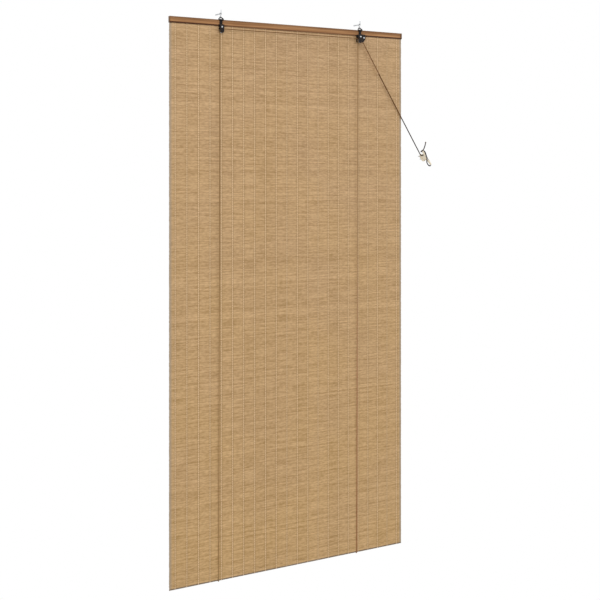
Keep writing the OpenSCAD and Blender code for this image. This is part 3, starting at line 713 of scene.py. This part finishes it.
class BLIND_OT_slats(bpy.types.Operator):
    """Model one bamboo slat and lay its copies into the mat"""
    bl_idname = "blind.slats"
    bl_label = "Slats"

    def execute(self, context):
        sizes, colours = context.scene.blind_sizes, context.scene.blind_colours
        slat = self.one_slat(sizes)
        mat = self.lay(slat, sizes)
        bpy.data.objects.remove(slat, do_unlink=True)
        use_material(mat, bamboo_finish(sizes, colours, context.scene.blind_streaks))
        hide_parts("slat_mat")
        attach(mat, ROOT)
        shorten(mat)
        return {"FINISHED"}

    def one_slat(self, sizes):
        """A level slat of mean height with its long edges rounded."""
        deselect()
        bpy.ops.mesh.primitive_cube_add(size=1)
        slat = bpy.context.object
        bpy.ops.object.mode_set(mode="EDIT")
        bpy.ops.transform.resize(value=(
            MAT_HIGH.x - MAT_LOW.x, MAT_HIGH.y - MAT_LOW.y, (MAT_HIGH.z - MAT_LOW.z) / sizes.slat_count))
        bpy.ops.mesh.select_all(action="DESELECT")
        build = bmesh.from_edit_mesh(slat.data)
        for edge in build.edges:
            a, b = edge.verts
            edge.select_set(abs(a.co.x - b.co.x) > 1 * MM)
        bmesh.update_edit_mesh(slat.data)
        bpy.ops.mesh.bevel(offset=sizes.slat_edge, segments=2, affect="EDGES")
        bpy.ops.object.mode_set(mode="OBJECT")
        return slat

    def lay(self, slat, sizes):
        """One mesh of slats from the top down, each with its own height, tone and ends."""
        chance = random.Random(SLAT_SEED)
        shares = [1 + sizes.slat_spread * chance.uniform(-1, 1) for _ in range(sizes.slat_count)]
        height = MAT_HIGH.z - MAT_LOW.z
        mean = height / sizes.slat_count
        middle_y = (MAT_LOW.y + MAT_HIGH.y) / 2
        build = bmesh.new()
        tint = build.faces.layers.float.new("slat_tint")
        darkening = build.faces.layers.float.new("last_slat_dark")
        sheet = build.loops.layers.uv.new("UVMap")
        top = MAT_HIGH.z
        drift = 0.5
        for index, share in enumerate(shares):
            tall = height * share / sum(shares)
            drift += DRIFT_RATE * (chance.random() - drift)
            tone = DRIFT_SHARE * drift + CHANCE_SHARE * chance.random() + TONE_FLOOR
            back_left, back_right = (chance.uniform(0, sizes.end_spread) for _ in range(2))
            first = len(build.verts)
            first_face = len(build.faces)
            build.from_mesh(slat.data)
            build.verts.ensure_lookup_table()
            build.faces.ensure_lookup_table()
            for vert in build.verts[first:]:
                vert.co.x += back_left if vert.co.x < 0 else -back_right
                vert.co.y += middle_y
                vert.co.z = top - tall / 2 + vert.co.z * tall / mean
            for face in build.faces[first_face:]:
                face[tint] = tone
                face[darkening] = 1.0 if index == sizes.slat_count - 1 else 0.0
                for loop in face.loops:
                    loop[sheet].uv = (loop.vert.co.x, loop.vert.co.z)
            top -= tall
        return new_object("bamboo_slats", build)


class BLIND_OT_threads(bpy.types.Operator):
    """Lay the warp threads over the slats on both faces of the mat"""
    bl_idname = "blind.threads"
    bl_label = "Warp threads"

    def execute(self, context):
        sizes, colours = context.scene.blind_sizes, context.scene.blind_colours
        cotton = strand_finish("warp_cotton", tuple(colours.thread), bpy.data.node_groups["Cord Strands"],
                               math.tau, math.tau, THREAD_RELIEF)
        low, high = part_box("warp_threads")
        for face, crest, base in (("front", low.y + THREAD_CLEAR, MAT_LOW.y),
                                  ("back", high.y - THREAD_CLEAR, MAT_HIGH.y)):
            obj = self.threads(f"warp_threads_{face}", crest, base, sizes)
            use_material(obj, cotton)
            if face == "front":
                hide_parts("warp_threads")
            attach(obj, ROOT)
            shorten(obj)
        return {"FINISHED"}

    def threads(self, name, crest, base, sizes):
        """Ribbons of four sides that rise over each slat and dip between two slats."""
        build = bmesh.new()
        sheet = build.loops.layers.uv.new("UVMap")
        pitch = (MAT_HIGH.x - MAT_LOW.x) / sizes.thread_count
        step = (MAT_HIGH.z - MAT_LOW.z) / (2 * sizes.slat_count)
        out = 1 if crest > base else -1
        half = sizes.thread_width / 2
        for i in range(sizes.thread_count):
            x = MAT_LOW.x + (i + 0.5) * pitch
            rings = []
            for k in range(2 * sizes.slat_count + 1):
                top = crest - out * (sizes.thread_dip if k % 2 == 0 else 0.0)
                z = MAT_HIGH.z - k * step
                foot = top - out * abs(crest - base)
                profile = ((x - half, foot, z), (x + half, foot, z), (x + half / 2, top, z),
                           (x - half / 2, top, z))
                rings.append([build.verts.new(p) for p in profile])
            for k in range(len(rings) - 1):
                for j in range(4):
                    m = (j + 1) % 4
                    face = build.faces.new([rings[k][j], rings[k][m], rings[k + 1][m], rings[k + 1][j]])
                    face.smooth = True
                    corners = ((j, k), (j + 1, k), (j + 1, k + 1), (j, k + 1))
                    for loop, (turn, ring) in zip(face.loops, corners):
                        loop[sheet].uv = (turn / 4, ring / 2)
            build.faces.new(rings[0])
            build.faces.new(rings[-1])
        bmesh.ops.recalc_face_normals(build, faces=build.faces)
        return new_object(name, build)


class BLIND_OT_knots(bpy.types.Operator):
    """Tie the knots of the cords"""
    bl_idname = "blind.knots"
    bl_label = "Knots"

    def execute(self, context):
        diameter = KNOT_CORD * context.scene.blind_sizes.lift_cord
        places = [("left_anchor_knot", (LIFT_X["left"], *ANCHOR_KNOT), 2.2 * MM),
                  ("right_anchor_knot", (LIFT_X["right"], *ANCHOR_KNOT), 2.2 * MM),
                  ("joining_knot", JOINT_POINT, 2.9 * MM),
                  ("end_knot", on_cleat(CLEAT_TURNS[-1]), 2.6 * MM)]
        cord = bpy.data.materials["pull_cord_braid"]
        for index, (name, centre, size) in enumerate(places):
            obj = knot(name, in_metres([centre])[0], size, diameter)
            use_material(obj, cord)
            if index == 0:
                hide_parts("cord_knots")
            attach(obj, ROOT)
        return {"FINISHED"}


class BLIND_OT_finishes(bpy.types.Operator):
    """Paint the pieces that keep their CAD shape"""
    bl_idname = "blind.finishes"
    bl_label = "Finishes"

    def execute(self, context):
        colours, streaks = context.scene.blind_colours, context.scene.blind_streaks
        looks = {
            "rail_wood": wood_finish("rail_wood", colours, streaks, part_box("head_rail_front")),
            "dark_steel": metal_finish("dark_lacquer", tuple(colours.lacquer), roughness=0.5, metallic=0.0,
                                       spread=0.6, gloss=0.2),
            "zinc": metal_finish("zinc_plate", tuple(colours.zinc), roughness=0.36, metallic=0.9,
                                 spread=0.82),
            "cream_plastic": plastic_finish(colours),
            "brown_wire": metal_finish("staple_wire", tuple(colours.staple), roughness=0.5, metallic=0.2,
                                       spread=0.85, gloss=0.3),
        }
        own = {"bottom_bar": wood_finish("bar_wood", colours, streaks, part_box("bottom_bar"))}
        slots = {s["node"]: s["material_slot"] for s in frame["record"]["subparts"]}
        for name, node in NODES.items():
            look = own.get(name) or looks.get(slots[name])
            if look is not None:
                use_material(node, look)
        return {"FINISHED"}


class BLIND_OT_stage(bpy.types.Operator):
    """Set the floor, the backdrop light and the lamps"""
    bl_idname = "blind.stage"
    bl_label = "Stage"

    def execute(self, context):
        scene = context.scene
        scene.view_settings.view_transform = "Standard"
        self.world(scene)
        self.floor()
        for name, place, power, size in LAMPS:
            data = bpy.data.lights.new(name, "AREA")
            data.energy = power
            data.size = size
            lamp = bpy.data.objects.new(name, data)
            context.collection.objects.link(lamp)
            lamp.location = place
            lamp.rotation_euler = (LAMP_TARGET - lamp.location).to_track_quat("-Z", "Y").to_euler()
        return {"FINISHED"}

    def seen(self, tree):
        """One for rays from the camera and for reflected and transmitted rays, or else zero."""
        path = tree.nodes.new("ShaderNodeLightPath")
        first = tree.nodes.new("ShaderNodeMath")
        second = tree.nodes.new("ShaderNodeMath")
        first.operation = second.operation = "MAXIMUM"
        tree.links.new(path.outputs["Is Camera Ray"], first.inputs[0])
        tree.links.new(path.outputs["Is Glossy Ray"], first.inputs[1])
        tree.links.new(first.outputs[0], second.inputs[0])
        tree.links.new(path.outputs["Is Transmission Ray"], second.inputs[1])
        return second.outputs[0]

    def world(self, scene):
        """A white room that lights the part less brightly than it shows behind it."""
        scene.world = bpy.data.worlds.new("studio")
        scene.world.use_nodes = True
        tree = scene.world.node_tree
        room = tree.nodes["Background"]
        room.inputs["Color"].default_value = (1, 1, 1, 1)
        strength = tree.nodes.new("ShaderNodeMapRange")
        strength.inputs["To Min"].default_value = ROOM_LIGHT
        strength.inputs["To Max"].default_value = BACKDROP_LIGHT
        tree.links.new(self.seen(tree), strength.inputs["Value"])
        tree.links.new(strength.outputs["Result"], room.inputs["Strength"])

    def floor(self):
        """A floor that bounces light and shows white, like the photograph's background."""
        deselect()
        bpy.ops.mesh.primitive_plane_add(size=FLOOR_SIZE, location=(0, 0, CAD_BOX[0].z - FLOOR_DROP))
        floor = bpy.context.object
        floor.name = "floor"
        paint = bpy.data.materials.new("pale_floor")
        paint.use_nodes = True
        tree = paint.node_tree
        matte = tree.nodes["Principled BSDF"]
        matte.inputs["Base Color"].default_value = (FLOOR_GREY, FLOOR_GREY, FLOOR_GREY, 1)
        matte.inputs["Roughness"].default_value = 0.9
        white = tree.nodes.new("ShaderNodeEmission")
        blend = tree.nodes.new("ShaderNodeMixShader")
        tree.links.new(self.seen(tree), blend.inputs[0])
        tree.links.new(matte.outputs[0], blend.inputs[1])
        tree.links.new(white.outputs[0], blend.inputs[2])
        tree.links.new(blend.outputs[0], tree.nodes["Material Output"].inputs["Surface"])
        use_material(floor, paint)


class BLIND_PT_panel(bpy.types.Panel):
    """Sizes, colours and making steps of the blind"""
    bl_label = "Blind"
    bl_idname = "BLIND_PT_panel"
    bl_space_type = "VIEW_3D"
    bl_region_type = "UI"
    bl_category = "Blind"

    def draw(self, context):
        for group in (context.scene.blind_sizes, context.scene.blind_colours):
            for name in group.__annotations__:
                self.layout.prop(group, name)
        for step in STEPS:
            self.layout.operator(step.bl_idname)


STEPS = (BLIND_OT_camera, BLIND_OT_cords, BLIND_OT_slats, BLIND_OT_threads, BLIND_OT_knots,
         BLIND_OT_finishes, BLIND_OT_stage)
CLASSES = (BlindSizes, BlindColours) + STEPS + (BLIND_PT_panel,)


def register():
    for kind in CLASSES:
        bpy.utils.register_class(kind)
    bpy.types.Scene.blind_sizes = bpy.props.PointerProperty(type=BlindSizes)
    bpy.types.Scene.blind_colours = bpy.props.PointerProperty(type=BlindColours)
    bpy.types.Scene.blind_streaks = bpy.props.PointerProperty(type=bpy.types.NodeTree)


def unregister():
    del bpy.types.Scene.blind_streaks
    del bpy.types.Scene.blind_colours
    del bpy.types.Scene.blind_sizes
    for kind in reversed(CLASSES):
        bpy.utils.unregister_class(kind)


def main():
    register()
    bpy.context.scene.blind_streaks = streak_group()
    bpy.ops.blind.camera()
    bpy.ops.blind.cords()
    bpy.ops.blind.slats()
    bpy.ops.blind.threads()
    bpy.ops.blind.knots()
    bpy.ops.blind.finishes()
    bpy.ops.blind.stage()


if __name__ == "__main__":
    main()
